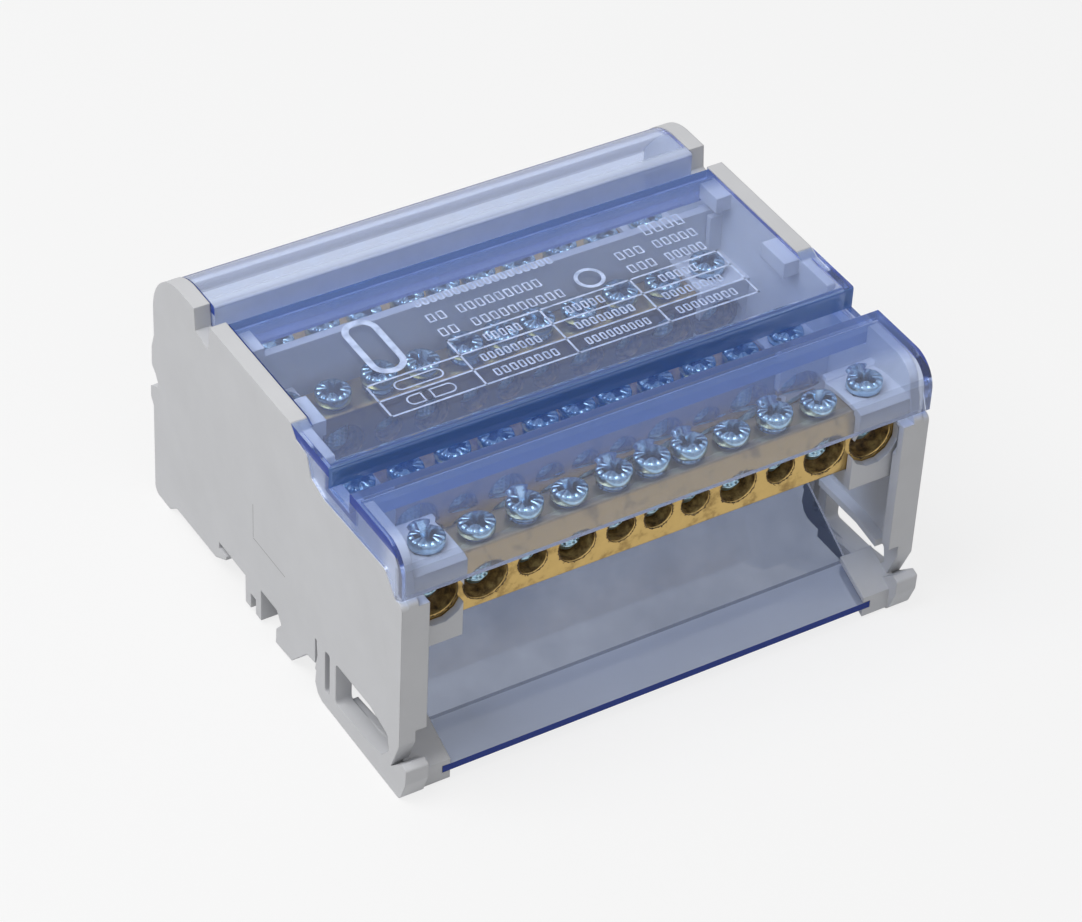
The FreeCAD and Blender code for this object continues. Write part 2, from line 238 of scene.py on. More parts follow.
def zone(tree, place, limits, *masks):
    """Mask of a zone of a piece: between limits in millimetres along its axes, and inside the other masks."""
    spot = add_node(tree, "ShaderNodeSeparateXYZ", links={"Vector": place}).outputs
    shared = None
    for axis, (low, high) in limits.items():
        middle, reach = (low + high) / 2 * MM, (high - low) / 2 * MM
        inside = add_node(tree, "ShaderNodeMath", {1: middle, 2: reach}, {0: spot[axis]}, operation="COMPARE")
        masks = (*masks, inside.outputs["Value"])
    for mask in masks:
        if shared is None:
            shared = mask
        else:
            both = add_node(tree, "ShaderNodeMath", links={0: shared, 1: mask}, operation="MULTIPLY")
            shared = both.outputs["Value"]
    return shared


def strongest(tree, *masks):
    """The strongest of several (mask, strength) pairs at each place."""
    best = None
    for mask, strength in masks:
        scaled = add_node(tree, "ShaderNodeMath", {1: strength}, {0: mask}, operation="MULTIPLY")
        level = scaled.outputs["Value"]
        if best is None:
            best = level
        else:
            higher = add_node(tree, "ShaderNodeMath", links={0: best, 1: level}, operation="MAXIMUM")
            best = higher.outputs["Value"]
    return best


def tinted(tree, tone, layers):
    """A colour, constant or linked, with (mask, colour) layers laid over it in turn."""
    for mask, over in layers:
        values = {"B": over}
        links = {"Factor": mask}
        below = links if isinstance(tone, bpy.types.NodeSocket) else values
        below["A"] = tone
        tone = add_node(tree, "ShaderNodeMix", values, links, data_type="RGBA").outputs["Result"]
    return tone


def seen_directly(tree, share=1.0):
    """This share for rays from the camera, straight or by way of metal or clear plastic, and 0 for others."""
    path = add_node(tree, "ShaderNodeLightPath").outputs
    rays = ("Is Camera Ray", "Is Glossy Ray", "Is Transmission Ray")
    return strongest(tree, *[(path[ray], share) for ray in rays])


def finish_material(tree, surface, volume=None):
    """Connects the shaders to the material's output."""
    links = {"Surface": surface}
    if volume is not None:
        links["Volume"] = volume
    add_node(tree, "ShaderNodeOutputMaterial", links=links)


# Materials

# Line that a mould insert leaves on the left plate's outer face, drawn as painted shade of its uncut groove:
# limits in millimetres of its two strokes
INSERT_STROKES = (
    {"X": (-50.05, -49.95), "Y": (7.12, 7.28), "Z": (17.6, 24.8)},
    {"X": (-50.05, -49.95), "Z": (17.32, 17.48), "Y": (-4.0, 7.2)},
)


def moulded_polyamide(settings):
    """Light grey glass-filled polyamide, injection moulded: satin, clouded by its flow in patches 11 mm wide,
    with a fine spark-eroded grain.

    The real grain is about 0.05 mm wide and is drawn 0.24 mm wide, so that it shows."""
    made, tree = new_material("moulded_polyamide")
    place = add_node(tree, "ShaderNodeTexCoord").outputs["Object"]
    flow = add_node(
        tree, "ShaderNodeTexNoise", {"Scale": grains(11.111), "Detail": 3.0, "Roughness": 0.55},
        {"Vector": place},
    ).outputs["Fac"]
    base = linear_of(settings.plate_colour)
    clouded = add_node(tree, "ShaderNodeValToRGB", links={"Fac": flow}, stops=[
        (0.3, shade(base, 0.955)), (0.72, shade(base, 1.03)),
    ]).outputs["Color"]
    strokes = [(zone(tree, place, limits), 1.0) for limits in INSERT_STROKES]
    # Painted shade: the insert line's strokes are darkened to 0.42 of the plate's colour.
    marked = tinted(tree, clouded, [(strongest(tree, *strokes), shade(base, 0.42))])
    rough = add_node(tree, "ShaderNodeMapRange", {"To Min": 0.40, "To Max": 0.54}, {"Value": flow})
    grain = add_node(tree, "ShaderNodeTexNoise", {"Scale": grains(0.2381), "Detail": 2.0}, {"Vector": place})
    rounded = add_node(tree, "ShaderNodeBevel", {"Radius": 0.28 * MM}, samples=6)
    bump = add_node(
        tree, "ShaderNodeBump", {"Strength": 0.18, "Distance": 0.03 * MM},
        {"Height": grain.outputs["Fac"], "Normal": rounded.outputs["Normal"]},
    )
    body = add_node(
        tree, "ShaderNodeBsdfPrincipled", {"IOR": 1.53},
        {"Base Color": marked, "Roughness": rough.outputs["Result"], "Normal": bump.outputs["Normal"]},
    )
    finish_material(tree, body.outputs["BSDF"])
    return made


def clear_polycarbonate(name, colour, density, passing, roughness, haze, settings):
    """Clear tinted polycarbonate, injection moulded: glossy, pale across a wall, deep blue along an edge, a
    little milky, with faint waves 17 mm wide.

    haze gives the milky share and its colour, painted light and shade among them, from the tree, the place on
    the piece and the settings."""
    made, tree = new_material(name)
    place = add_node(tree, "ShaderNodeTexCoord").outputs["Object"]
    waves = add_node(tree, "ShaderNodeTexNoise", {"Scale": grains(16.667), "Detail": 2.0}, {"Vector": place})
    ripple = add_node(
        tree, "ShaderNodeBump", {"Strength": 0.12, "Distance": 0.05 * MM}, {"Height": waves.outputs["Fac"]}
    )
    clear = add_node(
        tree, "ShaderNodeBsdfPrincipled",
        {"Base Color": (1, 1, 1, 1), "Roughness": roughness, "IOR": 1.585, "Transmission Weight": 1.0},
        {"Normal": ripple.outputs["Normal"]},
    )
    share, milky = haze(tree, place, settings)
    cloud = add_node(tree, "ShaderNodeBsdfDiffuse", links={"Color": milky})
    body = add_node(
        tree, "ShaderNodeMixShader", links={0: share, 1: clear.outputs["BSDF"], 2: cloud.outputs["BSDF"]}
    )
    light = add_node(tree, "ShaderNodeBsdfTransparent", {"Color": passing})
    path = add_node(tree, "ShaderNodeLightPath")
    both = add_node(tree, "ShaderNodeMixShader", links={
        0: path.outputs["Is Shadow Ray"], 1: body.outputs["Shader"], 2: light.outputs["BSDF"],
    })
    depth = add_node(tree, "ShaderNodeVolumeAbsorption", {"Color": colour, "Density": density})
    finish_material(tree, both.outputs["Shader"], depth.outputs["Volume"])
    return made


# How far the cover's haze is drawn to the front and to the rear in millimetres
COVER_HAZE_REACH = 43

# Milky share of the cover from front to rear, its peak in the rear groove a painted pale reflection band:
# place in millimetres and share
COVER_HAZE = (
    (-42, 0.05), (-38, 0.05), (-34.5, 0.3), (-27, 0.38), (-25.4, 0.27), (-19.2, 0.27), (-16.5, 0.18),
    (0, 0.1), (16, 0.12), (21.6, 0.6), (26.2, 0.7), (28.2, 0.7), (29, 0.16), (36, 0.16), (41, 0.04),
)

# Zones of the cover, as limits in millimetres
GROOVE_WALLS = {"Y": (-28, 23.5)}
ROOF_LIP = {"Y": (-19.5, -16.8)}
ROOF_ENDS = {"Z": (49.8, 52)}
NOSE = {"Y": (-43, -40.3), "Z": (41, 47.8)}
HUMP_BACK = {"Y": (37.7, 44), "Z": (42, 50.6)}
# Where the cover's haze takes the painted pale reflection colour
PALE_REFLECTION = {"Y": (21.4, 44)}


def cover_haze(tree, place, settings):
    """Milky share and colour of the cover, much of it painted light and shade: strongest in its rear groove,
    a pale painted reflection that also lies over the hump, and on the wall below the label roof's front edge,
    painted blue light; weaker on the other walls (painted blue light), the nose (milky grey) and the hump's
    back (a painted dark blue shade band); and painted blue light along the ends of its roof, where light
    gathers in the plastic. Its smears are 12 mm wide."""
    depth = add_node(tree, "ShaderNodeSeparateXYZ", links={"Vector": place}).outputs["Y"]
    along = add_node(
        tree, "ShaderNodeMapRange", {"From Min": -COVER_HAZE_REACH * MM, "From Max": COVER_HAZE_REACH * MM},
        {"Value": depth},
    ).outputs["Result"]
    stops = [
        ((y + COVER_HAZE_REACH) / (2 * COVER_HAZE_REACH), (level, level, level, 1)) for y, level in COVER_HAZE
    ]
    share = add_node(tree, "ShaderNodeValToRGB", links={"Fac": along}, stops=stops).outputs["Color"]
    smears = add_node(tree, "ShaderNodeTexNoise", {"Scale": grains(11.765), "Detail": 4.0}, {"Vector": place})
    uneven = add_node(
        tree, "ShaderNodeMapRange", {"To Min": 0.7, "To Max": 1.3}, {"Value": smears.outputs["Fac"]}
    )
    smeared = add_node(
        tree, "ShaderNodeMath", links={0: share, 1: uneven.outputs["Result"]}, operation="MULTIPLY"
    ).outputs["Value"]
    upright = facing(tree, "Y")
    # Painted blue light on the wall below the label roof's front edge, in the haze colour.
    lip = zone(tree, place, ROOF_LIP, upright)
    # Painted light and shade bands: blue light in the grooves' walls and along the roof's ends, and a dark
    # blue shade band on the hump's back; the nose's grey is milky.
    light_and_haze_bands = [
        (zone(tree, place, GROOVE_WALLS, upright), 0.3, settings.wall_light_colour),
        # Painted blue light along the roof's ends, where light gathers in the plastic.
        (zone(tree, place, ROOF_ENDS, facing(tree, "X")), 0.7, settings.edge_light_colour),
        (zone(tree, place, NOSE), 0.26, settings.nose_haze_colour),
        (zone(tree, place, HUMP_BACK), 0.5, settings.back_shade_colour),
    ]
    shares = [(smeared, 1.0), (lip, 0.6)]
    shares += [(mask, strength) for mask, strength, colour in light_and_haze_bands]
    # Painted pale reflection over the rear groove and the hump.
    layers = [(zone(tree, place, PALE_REFLECTION), linear_of(settings.pale_reflection_colour))]
    layers += [(mask, linear_of(colour)) for mask, strength, colour in light_and_haze_bands]
    return strongest(tree, *shares), tinted(tree, linear_of(settings.haze_colour), layers)


# Zones of the floor sheet, as limits in millimetres
FRONT_STRIP = {"Y": (-43.2, -35.3)}
FOLD_LINE = {"Y": (-35.65, -35.15)}

# Radius of a speck of dust and width of the cell that holds it, in millimetres
SPECK_RADIUS = 0.2619
SPECK_CELL = 23.81


def sheet_haze(tree, place, settings):
    """Milky share and colour of the floor sheet: smears of handling 13 mm wide, a front strip paler with
    painted light and a fold line on its outside, a few specks of dust and painted blue light along its front
    edge."""
    smears = add_node(tree, "ShaderNodeTexNoise", {"Scale": grains(13.333), "Detail": 4.0}, {"Vector": place})
    level = add_node(
        tree, "ShaderNodeMapRange", {"From Min": 0.35, "From Max": 0.7, "To Min": 0.08, "To Max": 0.22},
        {"Value": smears.outputs["Fac"]},
    ).outputs["Result"]
    inside = add_node(tree, "ShaderNodeNewGeometry").outputs["Backfacing"]
    outside = add_node(tree, "ShaderNodeMath", {0: 1.0}, {1: inside}, operation="SUBTRACT").outputs["Value"]
    cells = add_node(tree, "ShaderNodeTexVoronoi", {"Scale": grains(SPECK_CELL)}, {"Vector": place})
    specks = add_node(
        tree, "ShaderNodeMath", {1: SPECK_RADIUS / SPECK_CELL}, {0: cells.outputs["Distance"]},
        operation="LESS_THAN",
    ).outputs["Value"]
    marks = [
        # Painted light: the front strip is paler where the open front lets light in.
        (zone(tree, place, FRONT_STRIP, outside), 0.5, linear_of(settings.sheet_front_light_colour)),
        (zone(tree, place, FOLD_LINE, outside), 0.55, linear("#56617E")),
        (specks, 0.6, linear("#3A4460")),
        # Painted blue light along the sheet's front edge.
        (facing(tree, "Y"), 0.75, linear_of(settings.edge_light_colour)),
    ]
    shares = [(level, 1.0)]
    shares += [(mask, strength) for mask, strength, colour in marks]
    layers = [(mask, colour) for mask, strength, colour in marks]
    return strongest(tree, *shares), tinted(tree, linear_of(settings.sheet_haze_colour), layers)


def drawn_brass(settings, name, painted_side_shade, painted_top_sheen):
    """Drawn brass bar: golden, with fine draw lines along its length, brown spots 4 mm wide, painted shade on
    its sides (painted_side_shade) and a painted grey sheen on its top (painted_top_sheen).

    The real draw lines are about 0.02 mm wide and are drawn 0.19 mm wide, so that they show."""
    made, tree = new_material(name)
    place = add_node(tree, "ShaderNodeTexCoord").outputs["Object"]
    along = add_node(tree, "ShaderNodeMapping", {"Scale": (0.03, 1.0, 1.0)}, {"Vector": place})
    lines = add_node(
        tree, "ShaderNodeTexNoise", {"Scale": grains(0.1923), "Detail": 3.0},
        {"Vector": along.outputs["Vector"]},
    )
    spots = add_node(
        tree, "ShaderNodeTexNoise", {"Scale": grains(3.8462), "Detail": 5.0, "Roughness": 0.62},
        {"Vector": place},
    ).outputs["Fac"]
    gold = linear_of(settings.brass_colour)
    brown = mixed(gold, linear("#5E4526"), 0.62)
    spotted = add_node(tree, "ShaderNodeValToRGB", links={"Fac": spots}, stops=[
        (0.34, brown), (0.47, shade(gold, 0.9)), (0.7, gold),
    ]).outputs["Color"]
    looks = add_node(tree, "ShaderNodeNewGeometry").outputs["True Normal"]
    upward = add_node(tree, "ShaderNodeSeparateXYZ", links={"Vector": looks}).outputs["Z"]
    # Painted shade: faces darken towards #2A2520 as they turn from the top, up to painted_side_shade.
    side = add_node(
        tree, "ShaderNodeMapRange", {"From Min": 0.9, "From Max": 0.5, "To Min": 0.0, "To Max": painted_side_shade},
        {"Value": upward},
    )
    # Painted sheen: the top turns greyer towards #A9A6A3, up to painted_top_sheen.
    top = add_node(
        tree, "ShaderNodeMapRange", {"From Min": 0.8, "From Max": 0.95, "To Min": 0.0, "To Max": painted_top_sheen},
        {"Value": upward},
    )
    shaded_and_sheened_skin = tinted(tree, spotted, [
        (top.outputs["Result"], linear("#A9A6A3")), (side.outputs["Result"], linear("#2A2520")),
    ])
    rough = add_node(tree, "ShaderNodeMapRange", {"To Min": 0.22, "To Max": 0.42}, {"Value": spots})
    bump = add_node(
        tree, "ShaderNodeBump", {"Strength": 0.22, "Distance": 0.02 * MM}, {"Height": lines.outputs["Fac"]}
    )
    metal = add_node(
        tree, "ShaderNodeBsdfPrincipled", {"Metallic": 1.0},
        {"Base Color": shaded_and_sheened_skin, "Roughness": rough.outputs["Result"], "Normal": bump.outputs["Normal"]},
    )
    finish_material(tree, metal.outputs["BSDF"])
    return made


def drilled_brass(settings, name, level):
    """Brass where a drill has cut it: browner and darker than the bar, painted shade of the bores and holes,
    with blotches 1.4 mm wide and a few bare places. level darkens it further, as painted shade between a burr
    and the bar."""
    made, tree = new_material(name)
    place = add_node(tree, "ShaderNodeTexCoord").outputs["Object"]
    blotches = add_node(
        tree, "ShaderNodeTexNoise", {"Scale": grains(1.4286), "Detail": 4.0, "Roughness": 0.6},
        {"Vector": place},
    ).outputs["Fac"]
    # Painted shade: these browns darken the faces inside the bores and holes below the bar's brass.
    dark_brown, mid_brown, bare = linear("#5C4426"), linear("#9C7A46"), linear_of(settings.brass_colour)
    tint = add_node(tree, "ShaderNodeValToRGB", links={"Fac": blotches}, stops=[
        (0.34, shade(dark_brown, level)), (0.5, shade(mid_brown, level)), (0.7, shade(bare, level)),
    ])
    bump = add_node(tree, "ShaderNodeBump", {"Strength": 0.2, "Distance": 0.04 * MM}, {"Height": blotches})
    metal = add_node(
        tree, "ShaderNodeBsdfPrincipled", {"Metallic": 0.45, "Roughness": 0.5},
        {"Base Color": tint.outputs["Color"], "Normal": bump.outputs["Normal"]},
    )
    finish_material(tree, metal.outputs["BSDF"])
    return made


# Length of the screw's end that stands in a bore, in millimetres
SCREW_END = 5.0

# Least share of a face's normal that points up where the head's tool marks and their painted highlights show
MARKS_UPWARD = 0.6


def passivated_zinc(settings):
    """Zinc-plated steel with a clear blue passivation: bright and cool, clouded in patches 1.1 mm wide, with
    radial tool marks on the head, painted highlights along them, and a painted deep blue shade in its
    hollows.
    The end that stands in the bore has no such painted shade and is less polished."""
    made, tree = new_material("passivated_zinc")
    place = add_node(tree, "ShaderNodeTexCoord").outputs["Object"]
    around = add_node(tree, "ShaderNodeTexGradient", links={"Vector": place}, gradient_type="RADIAL")
    turns = add_node(
        tree, "ShaderNodeMath", {1: 2 * math.pi * settings.head_mark_count}, {0: around.outputs["Fac"]},
        operation="MULTIPLY",
    )
    rays = add_node(tree, "ShaderNodeMath", links={0: turns.outputs["Value"]}, operation="SINE")
    looks = add_node(tree, "ShaderNodeNewGeometry").outputs["True Normal"]
    upward = add_node(tree, "ShaderNodeSeparateXYZ", links={"Vector": looks}).outputs["Z"]
    head = add_node(tree, "ShaderNodeMath", {1: MARKS_UPWARD}, {0: upward}, operation="GREATER_THAN")
    ribs = add_node(
        tree, "ShaderNodeMath", links={0: rays.outputs["Value"], 1: head.outputs["Value"]},
        operation="MULTIPLY",
    ).outputs["Value"]
    patches = add_node(
        tree, "ShaderNodeTexNoise", {"Scale": grains(1.1111), "Detail": 3.0}, {"Vector": place}
    ).outputs["Fac"]
    clouded = add_node(tree, "ShaderNodeValToRGB", links={"Fac": patches}, stops=[
        (0.35, linear("#7FAAC6")), (0.55, linear_of(settings.zinc_colour)), (0.75, linear("#C2DCE6")),
    ]).outputs["Color"]
    # Painted highlights: pale blue-white #DCEFF6 on the ridges of the radial marks.
    ridge_highlights = add_node(
        tree, "ShaderNodeMapRange", {"From Min": -1.0, "From Max": 1.0, "To Min": 0.0, "To Max": 0.5},
        {"Value": ribs},
    )
    bright = tinted(tree, clouded, [(ridge_highlights.outputs["Result"], linear("#DCEFF6"))])
    # Painted shade: ambient occlusion darkens the hollows towards deep blue #1F3A66, except on the end in the
    # bore.
    sky = add_node(tree, "ShaderNodeAmbientOcclusion", {"Distance": 1.6 * MM}, samples=8)
    opened = add_node(
        tree, "ShaderNodeMapRange", {"From Min": 0.25, "From Max": 0.8}, {"Value": sky.outputs["AO"]}
    )
    height = add_node(tree, "ShaderNodeSeparateXYZ", links={"Vector": place}).outputs["Z"]
    end = add_node(
        tree, "ShaderNodeMath", {1: SCREW_END * MM - settings.shank_length}, {0: height},
        operation="LESS_THAN",
    ).outputs["Value"]
    lit = strongest(tree, (opened.outputs["Result"], 1.0), (end, 1.0))
    hollow_shaded = add_node(
        tree, "ShaderNodeMix", {"A": linear("#1F3A66")}, {"Factor": lit, "B": bright}, data_type="RGBA"
    )
    polish = add_node(tree, "ShaderNodeMapRange", {"To Min": 0.12, "To Max": 0.30}, {"Value": patches})
    bump = add_node(tree, "ShaderNodeBump", {"Strength": 0.8, "Distance": 0.12 * MM}, {"Height": ribs})
    metal = add_node(tree, "ShaderNodeBsdfPrincipled", {"Metallic": 1.0}, {
        "Base Color": hollow_shaded.outputs["Result"],
        "Normal": bump.outputs["Normal"],
        "Roughness": strongest(tree, (polish.outputs["Result"], 1.0), (end, 0.45)),
    })
    finish_material(tree, metal.outputs["BSDF"])
    return made


def pad_printed_ink(settings):
    """White pad-printed ink, coloured pale blue-grey as painted shade under the cover: a thin matt layer,
    slightly uneven in its cover, in patches 1.4 mm wide.
    """
    made, tree = new_material("pad_printed_ink")
    place = add_node(tree, "ShaderNodeTexCoord").outputs["Object"]
    cover = add_node(tree, "ShaderNodeTexNoise", {"Scale": grains(1.4286), "Detail": 2.0}, {"Vector": place})
    tint = add_node(
        tree, "ShaderNodeValToRGB", links={"Fac": cover.outputs["Fac"]},
        stops=[(0.3, linear("#98A5BF")), (0.6, linear_of(settings.shaded_ink_colour))],
    )
    ink = add_node(
        tree, "ShaderNodeBsdfPrincipled", {"Roughness": 0.6, "IOR": 1.5},
        {"Base Color": tint.outputs["Color"]},
    )
    finish_material(tree, ink.outputs["BSDF"])
    return made


# Share of plain white in the floor as the camera sees it
FLOOR_WHITE = 0.8


def pale_floor(settings):
    """Matt pale studio board: nearly white to the eye, and it keeps the block's shadow."""
    made, tree = new_material("pale_floor")
    board = add_node(tree, "ShaderNodeBsdfDiffuse", {"Color": linear_of(settings.floor_colour)})
    white = add_node(tree, "ShaderNodeEmission", {"Color": (1, 1, 1, 1), "Strength": 1.0})
    both = add_node(tree, "ShaderNodeMixShader", links={
        0: seen_directly(tree, FLOOR_WHITE), 1: board.outputs["BSDF"], 2: white.outputs["Emission"],
    })
    finish_material(tree, both.outputs["Shader"])
    return made


# Meshes

def mesh_object(name, bm):
    """An object of this name in the scene from a bmesh, which is freed."""
    mesh = bpy.data.meshes.new(name)
    bm.to_mesh(mesh)
    bm.free()
    made = bpy.data.objects.new(name, mesh)
    bpy.context.scene.collection.objects.link(made)
    return made


def smooth(mesh, degrees):
    """Smooth shading with the edges above this angle kept sharp."""
    mesh.shade_smooth()
    mesh.set_sharp_from_angle(angle=math.radians(degrees))


def lathe(bm, profile, sides, matrix=None):
    """A closed turned form from (radius, height) points; a radius of 0 closes an end in a point."""
    rings = []
    for radius, height in profile:
        if radius == 0:
            rings.append([bm.verts.new((0, 0, height))])
            continue
        turns = [2 * math.pi * i / sides for i in range(sides)]
        rings.append([bm.verts.new((radius * math.cos(t), radius * math.sin(t), height)) for t in turns])
    for upper, lower in zip(rings, rings[1:]):
        for i in range(sides):
            j = (i + 1) % sides
            corners = [
                upper[i % len(upper)], upper[j % len(upper)], lower[j % len(lower)], lower[i % len(lower)],
            ]
            bm.faces.new(list(dict.fromkeys(corners)))
    for ring in (rings[0], rings[-1]):
        if len(ring) > 1:
            bm.faces.new(ring)
    if matrix is not None:
        bmesh.ops.transform(bm, matrix=matrix, verts=[v for ring in rings for v in ring])
    bmesh.ops.recalc_face_normals(bm, faces=bm.faces)


def carve(body, cutters):
    """Takes the cutters out of the body and removes them."""
    for cutter in cutters:
        cut = body.modifiers.new("cut", "BOOLEAN")
        cut.operation = "DIFFERENCE"
        cut.solver = "EXACT"
        cut.object = cutter
    bpy.context.view_layer.update()
    shaped = bpy.data.meshes.new_from_object(body.evaluated_get(bpy.context.evaluated_depsgraph_get()))
    body.modifiers.clear()
    old = body.data
    body.data = shaped
    bpy.data.meshes.remove(old)
    for cutter in cutters:
        mesh = cutter.data
        bpy.data.objects.remove(cutter)
        bpy.data.meshes.remove(mesh)


def paint(obj, material):
    """Gives every slot of the object this material, adding a slot if it has none."""
    if not obj.material_slots:
        obj.data.materials.append(material)
    for slot in obj.material_slots:
        slot.material = material


def soften_node(name, degrees):
    """Joins a CAD node's split corners for shading and keeps its real edges sharp."""
    node = frame["nodes"][name]
    node.data.shade_smooth()
    weld = node.modifiers.new("join corners", "WELD")
    weld.merge_threshold = 0.002 * MM
    split = node.modifiers.new("keep edges", "EDGE_SPLIT")
    split.split_angle = math.radians(degrees)
    return node


# Busbars and burrs

# Sizes of the bores, large, medium or small, from left to right
BORE_PATTERN = "LLSMSSSMSLL"

# Depth of a bore's broken edge in millimetres, and how far the tool for it flares as a multiple of that
EDGE_BREAK = 0.28
BREAK_FLARE = 1.4

# A screw's clearance in its hole, in millimetres
HOLE_CLEARANCE = 0.06

# Points round a burr
BURR_POINTS = 72

# A burr in millimetres: overlap into the bore, least width, gap to the bar, depth of its root in the bore,
# and most height above its root
BURR_OVERLAP = 0.04
BURR_WIDTH = 0.1
BURR_GAP = 0.02
BURR_ROOT = 0.1
BURR_HEIGHT = 0.22

# Share of a burr's reach that it keeps at the sides of its bore
BURR_SIDE_SHARE = 0.45


def screw_name(letter, number):
    """Name of the CAD node of a row's numbered screw."""
    return "screw_%s%02d" % (letter, number)


def terminals(letter, settings):
    """(x, bore diameter) of each terminal of a row, from left to right."""
    sizes = {"L": settings.large_bore, "M": settings.medium_bore, "S": settings.small_bore}
    found = []
    for number, size in enumerate(BORE_PATTERN, 1):
        low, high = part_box(screw_name(letter, number))
        found.append(((low.x + high.x) / 2, sizes[size]))
    return found


def bore_axis(bar_low, settings):
    """Height of the bores' axes in a bar."""
    return bar_low.z + settings.bore_web + settings.large_bore / 2


def build_busbar(letter, node, settings):
    """One drawn bar with round bores, their broken edges and the holes for the screws."""
    low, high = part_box(node)
    middle = (low + high) / 2
    bm = bmesh.new()
    form = Matrix.Translation(middle) @ Matrix.Diagonal((*(high - low), 1))
    bmesh.ops.create_cube(bm, size=1, matrix=form)
    bmesh.ops.bevel(
        bm, geom=bm.edges[:], offset=settings.bar_edge, segments=3, affect="EDGES", profile=0.5
    )
    bar = mesh_object("drilled_" + node, bm)
    axis = bore_axis(low, settings)
    depth = high.y - low.y
    edge = EDGE_BREAK * MM
    hole = settings.shank_radius + HOLE_CLEARANCE * MM
    bores = bmesh.new()
    holes = bmesh.new()
    for x, bore in terminals(letter, settings):
        radius = bore / 2
        across = Matrix.Translation((x, middle.y, axis)) @ Matrix.Rotation(math.radians(90), 4, "X")
        lathe(bores, [
            (radius + BREAK_FLARE * edge, depth / 2 + edge), (radius, depth / 2 - edge),
            (radius, edge - depth / 2), (radius + BREAK_FLARE * edge, -depth / 2 - edge),
        ], sides=48, matrix=across)
        lathe(holes, [
            (hole + 2 * edge, high.z + edge), (hole, high.z - edge), (hole, axis),
        ], sides=32, matrix=Matrix.Translation((x, middle.y, 0)))
    carve(bar, [mesh_object("bore_tool", bores), mesh_object("hole_tool", holes)])
    smooth(bar.data, degrees=32)
    mark_drilled_faces(bar.data, low, high, edge)
    return bar


def mark_drilled_faces(mesh, low, high, edge):
    """Gives the second material to the faces inside the bar, which are those of its bores and screw holes."""
    middle = (low + high) / 2
    half_depth = 0.5 * (high.y - low.y) - 0.5 * edge
    half_length = (high.x - low.x) / 2 - edge
    for face in mesh.polygons:
        centre = face.center
        deep = abs(centre.y - middle.y) < half_depth and low.z + edge < centre.z < high.z - edge
        if deep and abs(centre.x - middle.x) < half_length:
            face.material_index = 1


def build_burrs(letter, node, settings):
    """Ragged burrs that the drill leaves round the bores on the front of a bar."""
    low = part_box(node)[0]
    axis = bore_axis(low, settings)
    ragged = random.Random(node)
    bm = bmesh.new()
    for x, bore in terminals(letter, settings):
        inner = bore / 2 - BURR_OVERLAP * MM
        rim = []
        for i in range(BURR_POINTS):
            turn = 2 * math.pi * i / BURR_POINTS
            tear = ragged.random() ** 3 * settings.burr_reach
            upright = abs(math.sin(turn))
            reach = bore / 2 + BURR_WIDTH * MM + tear * (BURR_SIDE_SHARE + (1 - BURR_SIDE_SHARE) * upright)
            spot = (x + reach * math.cos(turn), low.y - BURR_GAP * MM, axis + reach * math.sin(turn))
            depth = (BURR_ROOT - BURR_HEIGHT * ragged.random()) * MM
            edge = (x + inner * math.cos(turn), low.y + depth, axis + inner * math.sin(turn))
            rim.append((bm.verts.new(spot), bm.verts.new(edge)))
        for i in range(BURR_POINTS):
            bm.faces.new([rim[i - 1][0], rim[i][0], rim[i][1], rim[i - 1][1]])
    return mesh_object("burrs_" + node, bm)


# Clamping screws

# Pan head from its top to its seat, as shares of its radius and its height
HEAD_PROFILE = (
    (0, 1), (0.55, 1), (0.8, 0.975), (0.9, 0.93), (0.965, 0.85),
    (1, 0.73), (1, 0.12), (0.96, 0.03), (0.92, 0), (0, 0),
)

# Top and floor of a recess arm: half length, half width and height above the head in millimetres
RECESS_ARM = ((2.3, 0.7, 0.2), (1.1, 0.48, -1.8))

# Bowl in the middle of the recess: radius and height above the head in millimetres
RECESS_BOWL = ((1.3, 0.2), (0.6, -1.85))

# Thread: sides, rows to a pitch, depth as a share of the pitch, slope of its flanks and flat of its crest
THREAD_SIDES = 32
THREAD_ROWS = 8
THREAD_DEPTH = 0.42
FLANK_SLOPE = 1.35
CREST_FLAT = 0.15

# How far the shank reaches up into the head, in millimetres
SHANK_OVERLAP = 0.05


def build_screw_mesh(settings):
    """Pan head with a cross recess and a threaded shank with a coned tip; its origin is the head's seat."""
    radius = settings.head_radius
    height = settings.head_height
    bm = bmesh.new()
    lathe(bm, [(share * radius, level * height) for share, level in HEAD_PROFILE], sides=64)
    head = mesh_object("screw_head", bm)
    bowl = bmesh.new()
    lathe(bowl, [(width * MM, height + rise * MM) for width, rise in RECESS_BOWL], sides=24)
    carve(head, [recess_arm(0, height), recess_arm(90, height), mesh_object("recess_bowl", bowl)])
    bm = bmesh.new()
    bm.from_mesh(head.data)
    add_thread(bm, settings)
    mesh = bpy.data.meshes.new("clamping_screw")
    bm.to_mesh(mesh)
    bm.free()
    old = head.data
    bpy.data.objects.remove(head)
    bpy.data.meshes.remove(old)
    smooth(mesh, degrees=34)
    return mesh


def recess_arm(degrees, head_top):
    """Tapered tool for one arm of the cross recess, turned by this angle."""
    arm = bmesh.new()
    upper, lower = [
        [
            arm.verts.new((x * length * MM, y * width * MM, head_top + rise * MM))
            for x, y in ((-1, -1), (1, -1), (1, 1), (-1, 1))
        ]
        for length, width, rise in RECESS_ARM
    ]
    arm.faces.new(upper)
    arm.faces.new(lower[::-1])
    for i in range(4):
        arm.faces.new([upper[i - 1], lower[i - 1], lower[i], upper[i]])
    bmesh.ops.recalc_face_normals(arm, faces=arm.faces)
    turn = Matrix.Rotation(math.radians(degrees), 3, "Z")
    bmesh.ops.rotate(arm, cent=(0, 0, 0), matrix=turn, verts=arm.verts)
    return mesh_object("recess_arm", arm)


